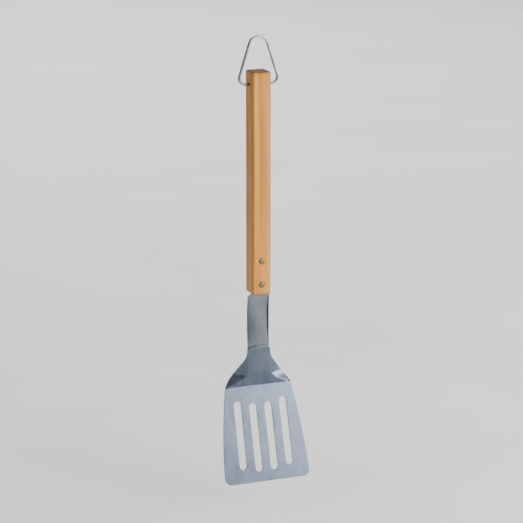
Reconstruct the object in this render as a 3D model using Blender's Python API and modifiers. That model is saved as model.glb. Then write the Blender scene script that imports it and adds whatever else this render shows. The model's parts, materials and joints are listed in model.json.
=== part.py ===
"""Grill spatula: a slotted steel blade on a strip shank, a hardwood bar handle and a wire hanging bail.

Frame: metres, +Z up, as the tool hangs. The origin is the point inside the bail where a hook touches it.
The handle runs down -Z, the side of the blade that carries food faces -Y, and the tool is symmetric
about the plane X = 0.
"""
import math

import bmesh
import bpy
from mathutils import Matrix, Vector

MM = 0.001
GAP = 0.3 * MM

# Bail: one bent wire, its two ends turned inwards as pivot pins
WIRE_RADIUS = 1.45 * MM
BAIL_HEIGHT = 48.5 * MM
BAIL_FOOT_HALF = 22.9 * MM
BAIL_TOP_RADIUS = 10.0 * MM
BAIL_FOOT_RADIUS = 6.5 * MM
PIN_INNER_X = 3.0 * MM

# Handle: a square bar of hardwood with eased edges
HANDLE_WIDTH = 20.0 * MM
HANDLE_DEPTH = 22.0 * MM
HANDLE_LENGTH = 232.0 * MM
HANDLE_EDGE_RADIUS = 2.0 * MM
PIVOT_BELOW_TOP = 13.5 * MM

# Two-piece rivets, front to back through the handle and the tang
RIVET_HEIGHTS = {"lower": 11.0 * MM, "upper": 36.0 * MM}
RIVET_HEAD_RADIUS = 2.9 * MM
RIVET_HEAD_PROUD = 0.8 * MM
RIVET_SEAT_DEPTH = 0.9 * MM
RIVET_RIM = 0.35 * MM
SLEEVE_RADIUS = 2.3 * MM
POST_RADIUS = 1.5 * MM
SLEEVE_LENGTH = 13.0 * MM
SLEEVE_FLOOR = 1.2 * MM

# Shank: a crowned strip, narrowed to a flat tang inside the handle
SHANK_THICKNESS = 1.5 * MM
SHANK_HALF = 12.0 * MM
SHANK_CROWN = 2.4 * MM
TANG_HALF = 6.5 * MM
TANG_LENGTH = 50.0 * MM
SHOULDER_LENGTH = 3.2 * MM
CROWN_RUN = 20.0 * MM
SHANK_SHOWING = 57.5 * MM
LAP_LENGTH = 22.0 * MM

# Blade: neck, ledge and slotted face, all one sheet
SHEET = 1.2 * MM
NECK_FORWARD = 1.9 * MM
NECK_HALF = 12.8 * MM
NECK_CROWN = 1.2 * MM
NECK_ARCH = 4.0 * MM
NECK_ARCH_RUN = 10.0 * MM
NECK_LENGTH = 30.0 * MM
LEDGE_LENGTH = 13.4 * MM
LEDGE_LEAN = math.radians(-12.5)
FACE_LENGTH = 101.5 * MM
FACE_LEAN = math.radians(17.5)
NECK_BEND_RADIUS = 30.0 * MM
FACE_BEND_RADIUS = 3.0 * MM
TIP_CORNER_RADIUS = 8.0 * MM

# How steeply the outline spreads: nothing on the neck, most above the shoulder, least at the tip
FLARE_START = 6.0 * MM
FLARE_FULL = 17.0 * MM
SHOULDER_START = 38.5 * MM
SHOULDER_END = 49.0 * MM
FLARE_SLOPE = 0.75
SIDE_SLOPE_TOP = 0.18
SIDE_SLOPE_TIP = 0.02

# Side wings of the neck, folded back; the folds turn outwards at the ledge and end on the blade's face
WING_HALF = 12.4 * MM
WING_TURN = 30.0 * MM
WING_END = 46.0 * MM
WING_SLOPE = 0.45
WING_SLOPE_AT_END = 0.30
WING_SOFTNESS = 1.6 * MM

# Drain slots
SLOT_WIDTH = 7.0 * MM
SLOT_LENGTH = 71.5 * MM
SLOT_PITCH = 17.0 * MM
SLOT_FAN = math.radians(0.35)
OUTER_SLOT_CENTRE = 51.0 * MM
INNER_SLOT_CENTRE = 54.5 * MM

# Heights that follow
PIVOT_Z = WIRE_RADIUS - BAIL_HEIGHT
HANDLE_TOP_Z = PIVOT_Z + PIVOT_BELOW_TOP
HANDLE_BOTTOM_Z = HANDLE_TOP_Z - HANDLE_LENGTH
SHANK_TOP_Z = HANDLE_BOTTOM_Z + TANG_LENGTH
NECK_TOP_Z = HANDLE_BOTTOM_Z - SHANK_SHOWING
NECK_BEND = NECK_BEND_RADIUS * abs(LEDGE_LEAN)
FACE_BEND = FACE_BEND_RADIUS * (FACE_LEAN - LEDGE_LEAN)
FACE_START = NECK_LENGTH + LEDGE_LENGTH
TIP = FACE_START + FACE_LENGTH


def clear_scene():
    for old in list(bpy.data.objects):
        bpy.data.objects.remove(old, do_unlink=True)


def new_collection(name):
    collection = bpy.data.collections.new(name)
    bpy.context.scene.collection.children.link(collection)
    return collection


def new_material(name, colour, roughness, metallic):
    material = bpy.data.materials.new(name)
    material.use_nodes = True
    shader = material.node_tree.nodes["Principled BSDF"]
    shader.inputs["Base Color"].default_value = (*colour, 1.0)
    shader.inputs["Roughness"].default_value = roughness
    shader.inputs["Metallic"].default_value = metallic
    material.diffuse_color = (*colour, 1.0)
    return material


def place_object(name, data, collection, material=None, matrix=None):
    """Link data as an object, which stands at the origin or at matrix."""
    piece = bpy.data.objects.new(name, data)
    collection.objects.link(piece)
    if material:
        data.materials.append(material)
    if matrix:
        piece.matrix_world = matrix
    return piece


def mesh_from(bm, name):
    mesh = bpy.data.meshes.new(name)
    bm.to_mesh(mesh)
    bm.free()
    return mesh


def smooth(piece, angle=35.0):
    piece.data.shade_smooth()
    piece.data.set_sharp_from_angle(angle=math.radians(angle))


def as_cutter(piece):
    piece.hide_render = True
    piece.display_type = "WIRE"
    return piece


def cut(piece, cutter):
    hole = piece.modifiers.new(cutter.name, "BOOLEAN")
    hole.operation = "DIFFERENCE"
    hole.solver = "EXACT"
    hole.object = cutter


def box_object(name, size, centre, collection, material=None):
    bm = bmesh.new()
    bmesh.ops.create_cube(bm, size=1.0)
    bmesh.ops.scale(bm, vec=size, verts=bm.verts)
    return place_object(name, mesh_from(bm, name), collection, material, Matrix.Translation(centre))


def turned_object(name, profile, collection, material=None, matrix=None, steps=20):
    """Turn a profile of (radius, height) points about Z; it runs from the top of the axis to the bottom."""
    bm = bmesh.new()
    points = [bm.verts.new((radius, 0.0, height)) for radius, height in profile]
    for upper, lower in zip(points, points[1:]):
        bm.edges.new((upper, lower))
    piece = place_object(name, mesh_from(bm, name), collection, material, matrix)
    screw = piece.modifiers.new("turn", "SCREW")
    screw.steps = steps
    screw.render_steps = steps
    screw.use_merge_vertices = True
    screw.merge_threshold = 0.00001
    screw.use_smooth_shade = False
    return piece


def spaced(start, end, count):
    """Count even steps from start to end, without start itself."""
    return [start + (end - start) * step / count for step in range(1, count + 1)]


def ease(value, start, end):
    """Rise smoothly from 0 at start to 1 at end."""
    share = min(max((value - start) / (end - start), 0.0), 1.0)
    return share * share * (3.0 - 2.0 * share)


def soft_ramp(distance, softness):
    """The distance past zero, with the corner at zero rounded over the softness on each side."""
    if distance <= -softness:
        return 0.0
    if distance >= softness:
        return distance
    return (distance + softness) ** 2 / (4.0 * softness)


def sheet_object(name, rows, columns, place, thickness, collection, material):
    """A solidified grid: place(row, side) gives the point at a row's value and at side, from -1 to 1."""
    bm = bmesh.new()
    bmesh.ops.create_grid(bm, x_segments=columns, y_segments=len(rows) - 1, size=1.0)
    for vert in bm.verts:
        row = round((1.0 - vert.co.y) / 2.0 * (len(rows) - 1))
        vert.co = place(rows[row], vert.co.x)
    piece = place_object(name, mesh_from(bm, name), collection, material)
    skin = piece.modifiers.new("thickness", "SOLIDIFY")
    skin.thickness = thickness
    skin.offset = 0.0
    skin.use_even_offset = True
    return piece


def crown_depth(x, crown):
    """How far a strip's surface falls back at x from its middle: a parabola, then its tangent."""
    edge = SHANK_HALF
    side = abs(x)
    if side <= edge:
        return crown * (side / edge) ** 2
    return crown + 2.0 * crown / edge * (side - edge)


# ---- bail -----------------------------------------------------------------------------------------

def arc_points(centre, radius, start, end, steps):
    """Points in the XZ plane on an arc, its angles measured from +X towards +Z."""
    angles = [start + (end - start) * step / steps for step in range(steps + 1)]
    return [centre + radius * Vector((math.cos(a), 0.0, math.sin(a))) for a in angles]


def bail_half():
    """The wire's middle line from the pin's inner end to the top, on the +X side, pivot at the origin."""
    top_centre = Vector((0.0, 0.0, BAIL_HEIGHT - BAIL_TOP_RADIUS))
    reach = math.hypot(BAIL_FOOT_HALF, top_centre.z)
    leg_angle = math.atan2(BAIL_FOOT_HALF, top_centre.z) - math.asin(BAIL_TOP_RADIUS / reach)
    foot_turn = math.pi / 2.0 + leg_angle
    foot_inset = BAIL_FOOT_RADIUS * math.tan(foot_turn / 2.0)
    foot_centre = Vector((BAIL_FOOT_HALF - foot_inset, 0.0, BAIL_FOOT_RADIUS))
    foot = arc_points(foot_centre, BAIL_FOOT_RADIUS, -math.pi / 2.0, leg_angle, 9)
    top = arc_points(top_centre, BAIL_TOP_RADIUS, leg_angle, math.pi / 2.0, 8)
    return [Vector((PIN_INNER_X, 0.0, 0.0))] + foot + top


def make_bail(collection, material):
    right = bail_half()
    left = [Vector((-point.x, point.y, point.z)) for point in reversed(right[:-1])]
    route = right + left
    curve = bpy.data.curves.new("bail", "CURVE")
    curve.dimensions = "3D"
    curve.bevel_depth = WIRE_RADIUS
    curve.bevel_resolution = 3
    curve.use_fill_caps = True
    spline = curve.splines.new("POLY")
    spline.points.add(len(route) - 1)
    for spline_point, point in zip(spline.points, route):
        spline_point.co = (*point, 1.0)
    return place_object("bail", curve, collection, material, Matrix.Translation((0.0, 0.0, PIVOT_Z)))


# ---- handle ---------------------------------------------------------------------------------------

def rivet_matrix(height):
    """A turned piece's +Z points to the front of the handle, at a height above its lower end."""
    place = Matrix.Translation((0.0, 0.0, HANDLE_BOTTOM_Z + height))
    return place @ Matrix.Rotation(math.pi / 2.0, 4, "X")


def make_rivet_bores(collection):
    """Stepped cutters: a bore for the sleeve, and a seat for a head at each face of the handle."""
    half = HANDLE_DEPTH / 2.0
    bore = SLEEVE_RADIUS + GAP
    seat = RIVET_HEAD_RADIUS + GAP
    floor = half - RIVET_SEAT_DEPTH
    outside = half + 2.0 * MM
    profile = [(0.0, outside), (seat, outside), (seat, floor), (bore, floor)]
    profile += [(radius, -height) for radius, height in reversed(profile)]
    bores = []
    for place, height in RIVET_HEIGHTS.items():
        bore_object = turned_object(f"{place}_rivet_bore", profile, collection, None, rivet_matrix(height), 24)
        bores.append(as_cutter(bore_object))
    return bores


def make_mortise(collection):
    """The blind slot that the tang stands in, open at the handle's lower end."""
    below = 5.0 * MM
    length = TANG_LENGTH + GAP + below
    size = (2.0 * (TANG_HALF + GAP), SHANK_THICKNESS + 2.0 * GAP, length)
    centre = (0.0, 0.0, HANDLE_BOTTOM_Z - below + length / 2.0)
    return as_cutter(box_object("mortise", size, centre, collection))


def make_pin_bore(collection):
    """The hole across the handle that both of the bail's pins turn in."""
    half = HANDLE_WIDTH / 2.0 + 2.0 * MM
    radius = WIRE_RADIUS + GAP
    profile = [(0.0, half), (radius, half), (radius, -half), (0.0, -half)]
    place = Matrix.Translation((0.0, 0.0, PIVOT_Z)) @ Matrix.Rotation(math.pi / 2.0, 4, "Y")
    return as_cutter(turned_object("pin_bore", profile, collection, None, place, 20))


def make_handle(collection, material, cutters):
    size = (HANDLE_WIDTH, HANDLE_DEPTH, HANDLE_LENGTH)
    centre = (0.0, 0.0, HANDLE_TOP_Z - HANDLE_LENGTH / 2.0)
    handle = box_object("handle", size, centre, collection, material)
    easing = handle.modifiers.new("eased_edges", "BEVEL")
    easing.width = HANDLE_EDGE_RADIUS
    easing.segments = 3
    easing.limit_method = "NONE"
    for cutter in cutters:
        cut(handle, cutter)
    return handle


# ---- rivets ---------------------------------------------------------------------------------------

def head_profile(face):
    """A low domed head, from the middle of its top to the rim, its underside at the seat's floor."""
    top = face + RIVET_HEAD_PROUD
    rim = face + RIVET_RIM
    drop = top - rim
    steps = 5
    dome = []
    for step in range(steps + 1):
        share = step / steps
        dome.append((RIVET_HEAD_RADIUS * math.sin(share * math.pi / 2.0), top - drop * share ** 2))
    underside = face - RIVET_SEAT_DEPTH + GAP
    return dome + [(RIVET_HEAD_RADIUS, underside)], underside


def make_rivets(collection, post_material, cap_material):
    """Each rivet is a headed post from the front, and a headed sleeve that meets it from the back."""
    face = HANDLE_DEPTH / 2.0
    head, underside = head_profile(face)
    sleeve_end = underside - SLEEVE_LENGTH
    bore = POST_RADIUS + GAP
    bore_floor = underside - SLEEVE_FLOOR
    post_end = GAP - bore_floor
    post = head + [(POST_RADIUS, underside), (POST_RADIUS, post_end), (0.0, post_end)]
    sleeve = head + [(SLEEVE_RADIUS, underside), (SLEEVE_RADIUS, sleeve_end), (bore, sleeve_end)]
    sleeve += [(bore, bore_floor), (0.0, bore_floor)]
    turn_round = Matrix.Rotation(math.pi, 4, "X")
    for place, height in RIVET_HEIGHTS.items():
        front = rivet_matrix(height)
        post_object = turned_object(f"{place}_rivet_post", post, collection, post_material, front)
        cap_object = turned_object(
            f"{place}_rivet_cap", sleeve, collection, cap_material, front @ turn_round)
        smooth(post_object)
        smooth(cap_object)


# ---- shank ----------------------------------------------------------------------------------------

def shank_half_width(depth):
    """Half the strip's width at a depth below the tang's top."""
    return TANG_HALF + (SHANK_HALF - TANG_HALF) * ease(depth, TANG_LENGTH, TANG_LENGTH + SHOULDER_LENGTH)


def shank_point(depth, side):
    x = shank_half_width(depth) * side
    crown = SHANK_CROWN * ease(depth, TANG_LENGTH, TANG_LENGTH + CROWN_RUN)
    lap = TANG_LENGTH + SHANK_SHOWING
    crown -= (SHANK_CROWN - NECK_CROWN) * ease(depth, lap - CROWN_RUN, lap)
    return Vector((x, crown_depth(x, crown), SHANK_TOP_Z - depth))


def make_shank(collection, material, bores):
    shoulder = TANG_LENGTH + SHOULDER_LENGTH
    rows = [0.0, TANG_LENGTH + GAP]
    rows += spaced(TANG_LENGTH + GAP, shoulder, 7)
    rows += spaced(shoulder, TANG_LENGTH + CROWN_RUN, 7)
    lap = TANG_LENGTH + SHANK_SHOWING
    rows += spaced(TANG_LENGTH + CROWN_RUN, lap - CROWN_RUN, 1)
    rows += spaced(lap - CROWN_RUN, lap, 5)
    rows += spaced(lap, lap + LAP_LENGTH, 1)
    shank = sheet_object("shank", rows, 14, shank_point, SHANK_THICKNESS, collection, material)
    smooth(shank)
    for bore in bores:
        cut(shank, bore)
    return shank


# ---- blade ----------------------------------------------------------------------------------------

def blade_middle(distance):
    """The sheet's middle line (y, z) at a distance down it, through its straight runs and bends."""
    runs = [(NECK_LENGTH - NECK_BEND / 2.0, 0.0, 0.0), (NECK_BEND, 0.0, LEDGE_LEAN)]
    runs += [(LEDGE_LENGTH - (NECK_BEND + FACE_BEND) / 2.0, LEDGE_LEAN, LEDGE_LEAN)]
    runs += [(FACE_BEND, LEDGE_LEAN, FACE_LEAN), (FACE_LENGTH, FACE_LEAN, FACE_LEAN)]
    y = -NECK_FORWARD
    z = NECK_TOP_Z
    for length, lean, end_lean in runs:
        run = min(distance, length)
        if lean == end_lean:
            y -= math.sin(lean) * run
            z -= math.cos(lean) * run
        else:
            turn = (end_lean - lean) / length
            reached = lean + turn * run
            y -= (math.cos(lean) - math.cos(reached)) / turn
            z -= (math.sin(reached) - math.sin(lean)) / turn
        distance -= run
    return y, z


def blade_half_width(distance):
    """Half the outline's width: the spread's slope, added up down the sheet, less the tip's corners."""
    slopes = [(FLARE_START, 0.0), (FLARE_FULL, FLARE_SLOPE), (SHOULDER_START, FLARE_SLOPE)]
    slopes += [(SHOULDER_END, SIDE_SLOPE_TOP), (TIP, SIDE_SLOPE_TIP)]
    half = NECK_HALF
    for (start, slope), (end, end_slope) in zip(slopes, slopes[1:]):
        run = min(max(distance - start, 0.0), end - start)
        reached = slope + (end_slope - slope) * run / (end - start)
        half += run * (slope + reached) / 2.0
    past = max(distance - (TIP - TIP_CORNER_RADIUS), 0.0)
    return half - TIP_CORNER_RADIUS + math.sqrt(max(TIP_CORNER_RADIUS ** 2 - past ** 2, 0.0))


def neck_crown(distance):
    return NECK_CROWN * (1.0 - ease(distance, LAP_LENGTH, FACE_START - FACE_BEND))


def wing_depth(distance, x):
    """How far the side wings fold back; each narrows to nothing where its fold meets the outline."""
    if distance >= WING_END:
        return 0.0
    turned = max((distance - WING_TURN) / (WING_END - WING_TURN), 0.0) ** 1.5
    fold = WING_HALF + (blade_half_width(WING_END) + WING_SOFTNESS - WING_HALF) * turned
    slope = WING_SLOPE + (WING_SLOPE_AT_END - WING_SLOPE) * turned
    slope -= 2.0 * neck_crown(distance) / SHANK_HALF
    return slope * soft_ramp(abs(x) - fold, WING_SOFTNESS)


def blade_point(distance, side):
    x = blade_half_width(distance) * side
    drop = NECK_ARCH * (1.0 - math.sqrt(max(1.0 - side ** 2, 0.0)))
    distance += drop * max(1.0 - distance / NECK_ARCH_RUN, 0.0)
    y, z = blade_middle(distance)
    return Vector((x, y + crown_depth(x, neck_crown(distance)) + wing_depth(distance, x), z))


def face_matrix(distance, x, turn):
    """A frame on the blade's face: +Y up the face, +Z out of its front, turned in the face."""
    y, z = blade_middle(FACE_START + distance)
    out_of_face = Matrix.Rotation(math.pi / 2.0 - FACE_LEAN, 4, "X")
    return Matrix.Translation((x, y, z)) @ out_of_face @ Matrix.Rotation(turn, 4, "Z")


def make_slot_cutters(collection):
    """Four round-ended slots that fan out slightly, the inner pair set a little nearer the tip."""
    radius = SLOT_WIDTH / 2.0
    straight = SLOT_LENGTH / 2.0 - radius
    steps = 10
    outline = []
    for end in (1.0, -1.0):
        for step in range(steps + 1):
            angle = math.pi * step / steps
            outline.append((end * radius * math.cos(angle), end * (straight + radius * math.sin(angle))))
    cutters = []
    for index, name in enumerate(("left_outer", "left_inner", "right_inner", "right_outer")):
        across = index - 1.5
        centre = INNER_SLOT_CENTRE if abs(across) < 1.0 else OUTER_SLOT_CENTRE
        curve = bpy.data.curves.new(f"{name}_slot", "CURVE")
        curve.dimensions = "2D"
        curve.fill_mode = "BOTH"
        curve.extrude = 4.0 * MM
        spline = curve.splines.new("POLY")
        spline.points.add(len(outline) - 1)
        spline.use_cyclic_u = True
        for spline_point, point in zip(spline.points, outline):
            spline_point.co = (*point, 0.0, 1.0)
        place = face_matrix(centre, across * SLOT_PITCH, across * SLOT_FAN)
        cutters.append(as_cutter(curve_to_mesh(curve, collection, place)))
    return cutters


def curve_to_mesh(curve, collection, matrix):
    """A mesh object of an extruded outline, its caps welded to its sides."""
    guide = place_object("outline", curve, collection, None, matrix)
    bpy.context.view_layer.update()
    evaluated = guide.evaluated_get(bpy.context.evaluated_depsgraph_get())
    mesh = bpy.data.meshes.new_from_object(evaluated)
    bpy.data.objects.remove(guide, do_unlink=True)
    bm = bmesh.new()
    bm.from_mesh(mesh)
    bmesh.ops.remove_doubles(bm, verts=bm.verts, dist=0.00001)
    bmesh.ops.recalc_face_normals(bm, faces=bm.faces)
    bm.to_mesh(mesh)
    bm.free()
    return place_object(curve.name, mesh, collection, None, matrix)


def make_blade(collection, material, slots):
    neck_end = NECK_LENGTH - NECK_BEND / 2.0
    ledge_start = NECK_LENGTH + NECK_BEND / 2.0
    bend_start = FACE_START - FACE_BEND / 2.0
    bend_end = FACE_START + FACE_BEND / 2.0
    corner = TIP - TIP_CORNER_RADIUS
    rows = [0.0] + spaced(0.0, FLARE_START, 3)
    rows += spaced(FLARE_START, FLARE_FULL, 5)
    rows += spaced(FLARE_FULL, neck_end, 2)
    rows += spaced(neck_end, ledge_start, 7)
    rows += spaced(ledge_start, bend_start, 6)
    rows += spaced(bend_start, bend_end, 2)
    rows += spaced(bend_end, SHOULDER_END, 5)
    rows += spaced(SHOULDER_END, corner, 6)
    rows += [corner + TIP_CORNER_RADIUS * math.sin(math.pi / 2.0 * share) for share in spaced(0.0, 1.0, 7)]
    blade = sheet_object("blade", rows, 24, blade_point, SHEET, collection, material)
    smooth(blade)
    for slot in slots:
        cut(blade, slot)
    return blade


def main():
    clear_scene()
    spatula = new_collection("grill_spatula")
    cutters = new_collection("cutters")
    hardwood = new_material("hardwood", (0.62, 0.38, 0.20), 0.55, 0.0)
    shank_steel = new_material("shank_steel", (0.42, 0.44, 0.46), 0.38, 1.0)
    blade_steel = new_material("blade_steel", (0.60, 0.62, 0.66), 0.32, 1.0)
    bail_steel = new_material("bail_steel", (0.46, 0.48, 0.49), 0.35, 1.0)
    post_metal = new_material("rivet_post_metal", (0.50, 0.44, 0.34), 0.45, 1.0)
    cap_metal = new_material("rivet_cap_metal", (0.48, 0.43, 0.34), 0.45, 1.0)
    bores = make_rivet_bores(cutters)
    make_handle(spatula, hardwood, [make_mortise(cutters), make_pin_bore(cutters)] + bores)
    make_rivets(spatula, post_metal, cap_metal)
    make_shank(spatula, shank_steel, bores)
    make_blade(spatula, blade_steel, make_slot_cutters(cutters))
    make_bail(spatula, bail_steel)


main()
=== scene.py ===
"""Looks of the grill spatula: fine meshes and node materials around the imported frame. Metres, +Z up.

The tool hangs from its bail. Its handle runs down -Z, and the side of the blade that carries food faces -Y.
"""
import json
import math

import bmesh
import bpy
from mathutils import Matrix, Vector, geometry, kdtree


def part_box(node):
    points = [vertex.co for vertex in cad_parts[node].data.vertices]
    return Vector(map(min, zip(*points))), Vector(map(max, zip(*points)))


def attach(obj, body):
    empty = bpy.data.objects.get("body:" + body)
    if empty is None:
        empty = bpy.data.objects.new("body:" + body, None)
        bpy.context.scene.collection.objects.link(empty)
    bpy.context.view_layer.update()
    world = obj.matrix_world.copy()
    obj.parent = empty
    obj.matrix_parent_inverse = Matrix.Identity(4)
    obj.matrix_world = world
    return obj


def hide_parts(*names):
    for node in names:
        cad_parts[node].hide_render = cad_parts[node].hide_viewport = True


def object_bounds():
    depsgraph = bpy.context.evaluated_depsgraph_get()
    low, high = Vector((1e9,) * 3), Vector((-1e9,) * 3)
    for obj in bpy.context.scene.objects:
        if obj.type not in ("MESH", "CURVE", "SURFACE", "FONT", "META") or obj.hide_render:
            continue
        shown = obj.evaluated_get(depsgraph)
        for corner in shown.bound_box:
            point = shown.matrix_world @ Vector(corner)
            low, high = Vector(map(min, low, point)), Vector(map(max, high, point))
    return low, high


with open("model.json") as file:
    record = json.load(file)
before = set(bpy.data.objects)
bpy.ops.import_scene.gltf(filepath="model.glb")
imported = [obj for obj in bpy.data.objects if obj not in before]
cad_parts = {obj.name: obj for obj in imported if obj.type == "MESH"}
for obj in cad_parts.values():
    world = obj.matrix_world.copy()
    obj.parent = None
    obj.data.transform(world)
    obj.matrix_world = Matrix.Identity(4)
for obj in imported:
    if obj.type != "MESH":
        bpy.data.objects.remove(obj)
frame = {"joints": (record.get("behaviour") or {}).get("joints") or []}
cad_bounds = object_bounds()

MM = 0.001

# Places, from the frame
PIVOT = Vector(frame["joints"][0]["pos_m"])
HANDLE_LOW, HANDLE_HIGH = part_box("handle")
SHANK_TOP_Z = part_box("shank")[1].z
TIP_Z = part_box("blade")[0].z
RIVET_Z = {place: sum(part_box(f"{place}_rivet_post"), Vector()).z / 2.0 for place in ("upper", "lower")}

# Bail
WIRE_RADIUS = 1.4 * MM
BAIL_HEIGHT = 48.47 * MM
BAIL_FOOT_HALF = 22.9 * MM
BAIL_TOP_RADIUS = 10.0 * MM
BAIL_FOOT_RADIUS = 6.5 * MM
PIN_INNER_X = 3.0 * MM
WIRE_SIDES = 20
WIRE_END_CHAMFER = 0.4 * MM
FOOT_STEPS = 22
TOP_STEPS = 20

# Handle
HANDLE_EDGE_RADIUS = 2.0 * MM
HANDLE_WIDTH = HANDLE_HIGH.x - HANDLE_LOW.x
HANDLE_DEPTH = HANDLE_HIGH.y - HANDLE_LOW.y
FIT = 0.12 * MM
SEAT_CHAMFER = 0.25 * MM
PIN_HOLE_RADIUS = 1.65 * MM
CUTTER_OVERSHOOT = 1.0 * MM
# The cross hole's worn mouth: (wider than the hole, below the handle's side)
PIN_HOLE_MOUTH = [(0.45 * MM, 0.0), (0.12 * MM, 0.35 * MM), (0.0, 1.2 * MM)]

# Rivets
RIVET_HEAD_RADIUS = 2.9 * MM
RIVET_HEAD_PROUD = 0.8 * MM
RIVET_SEAT_DEPTH = 0.9 * MM
RIVET_RIM = 0.35 * MM
RIVET_RIM_ROUND = 0.12 * MM
RIVET_DIMPLE_RADIUS = 1.1 * MM
RIVET_DIMPLE_DEPTH = 0.22 * MM
SLEEVE_RADIUS = 2.3 * MM
SLEEVE_LENGTH = 13.0 * MM
SLEEVE_FLOOR = 1.2 * MM
POST_RADIUS = 1.5 * MM
HEAD_STEPS = 24
RIM_STEPS = 5

# Shank
SHANK_THICKNESS = 1.5 * MM
SHANK_HALF = 12.0 * MM
SHANK_CROWN = 2.4 * MM
TANG_HALF = 6.5 * MM
TANG_LENGTH = 50.0 * MM
SHOULDER_LENGTH = 3.2 * MM
CROWN_RUN = 20.0 * MM
SHANK_SHOWING = 57.5 * MM
LAP_LENGTH = 22.0 * MM

# Blade
SHEET = 1.2 * MM
NECK_TOP_Z = HANDLE_LOW.z - SHANK_SHOWING
NECK_FORWARD = 1.9 * MM
NECK_HALF = 12.8 * MM
NECK_CROWN = 1.2 * MM
NECK_ARCH = 4.0 * MM
NECK_LENGTH = 30.0 * MM
LEDGE_LENGTH = 13.4 * MM
LEDGE_LEAN = math.radians(-12.5)
FACE_LENGTH = 101.5 * MM
FACE_LEAN = math.radians(17.5)
NECK_BEND_RADIUS = 30.0 * MM
FACE_BEND_RADIUS = 3.0 * MM
NECK_BEND = NECK_BEND_RADIUS * abs(LEDGE_LEAN)
FACE_BEND = FACE_BEND_RADIUS * (FACE_LEAN - LEDGE_LEAN)
FACE_START = NECK_LENGTH + LEDGE_LENGTH
TIP = FACE_START + FACE_LENGTH
TIP_CORNER_RADIUS = 8.0 * MM
FLARE_START = 6.0 * MM
FLARE_FULL = 17.0 * MM
SHOULDER_START = 38.5 * MM
SHOULDER_END = 49.0 * MM
FLARE_SLOPE = 0.75
SIDE_SLOPE_TOP = 0.18
SIDE_SLOPE_TIP = 0.02
WING_HALF = 12.4 * MM
WING_TURN = 30.0 * MM
WING_END = 46.0 * MM
WING_SLOPE = 0.45
WING_SLOPE_AT_END = 0.30
WING_SOFTNESS = 1.6 * MM
SLOT_RADIUS = 3.5 * MM
SLOT_LENGTH = 71.5 * MM
SLOT_PITCH = 17.0 * MM
SLOT_FAN = math.radians(0.35)
OUTER_SLOT_CENTRE = 51.0 * MM
INNER_SLOT_CENTRE = 54.5 * MM

# Spot welds through the neck and the shank, (across, below the neck's top)
WELDS = [(-4.2 * MM, 4.8 * MM), (4.2 * MM, 5.4 * MM)]
WELD_RADIUS = 1.7 * MM
WELD_DEPTH = 0.07 * MM

# Sheet edges: a rounding, then a narrow band before the flat's own points begin
EDGE_RADIUS = 0.35 * MM
EDGE_BAND = 0.6 * MM
EDGE_STEPS = 4
CORNER_RADIUS = 1.2 * MM
CORNER_STEPS = 6

# Spacing of the points on the sheets, and the steps of their round stretches
FINE_STEP = 0.6 * MM
COARSE_STEP = 2.2 * MM
EDGE_STEP = 2.0 * MM
SHANK_STEP = 1.0 * MM
WELD_ZONE = 12.0 * MM
ARCH_STEP = math.pi / 48.0
TIP_CORNER_STEPS = 16
SLOT_END_STEPS = 20
RIVET_HOLE_SIDES = 32

# Studio
FLOOR_BELOW_TIP = 45.0 * MM
FLOOR_HALF = 40.0
SKY_COLOUR = (0.96, 0.98, 1.0, 1.0)
SKY_LEFT = 0.20
SKY_RIGHT = 0.80
SKY_TOP_SHARE = 0.40
WHITE = (1.0, 1.0, 1.0)
WARM_WHITE = (1.0, 0.985, 0.96)
CAMERA_AZIMUTH = math.radians(-20.5)
CAMERA_ELEVATION = math.radians(15.0)
CAMERA_DISTANCE = 2.0
CAMERA_LENS = 134.0


# ---- small helpers --------------------------------------------------------------------------------

def ease(value, start, end):
    """Rise smoothly from 0 at start to 1 at end."""
    share = min(max((value - start) / (end - start), 0.0), 1.0)
    return share * share * (3.0 - 2.0 * share)


def soft_ramp(distance, softness):
    """The distance past zero, with the corner at zero rounded over the softness on each side."""
    if distance <= -softness:
        return 0.0
    if distance >= softness:
        return distance
    return (distance + softness) ** 2 / (4.0 * softness)


def spaced(start, end, step):
    """Even values from start to end, both included, about a step apart."""
    count = max(1, round((end - start) / step))
    return [start + (end - start) * index / count for index in range(count + 1)]


def mesh_object(name, bm, material):
    mesh = bpy.data.meshes.new(name)
    bm.to_mesh(mesh)
    bm.free()
    mesh.materials.append(material)
    piece = bpy.data.objects.new(name, mesh)
    bpy.context.scene.collection.objects.link(piece)
    return piece


def smooth(piece, angle=40.0):
    piece.data.shade_smooth()
    piece.data.set_sharp_from_angle(angle=math.radians(angle))


def settle(piece, body, slot, *nodes):
    """Ride on a body and stand for CAD nodes; the slot is not used."""
    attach(piece, body)
    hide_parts(*nodes)


# ---- shader building ------------------------------------------------------------------------------

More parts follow.
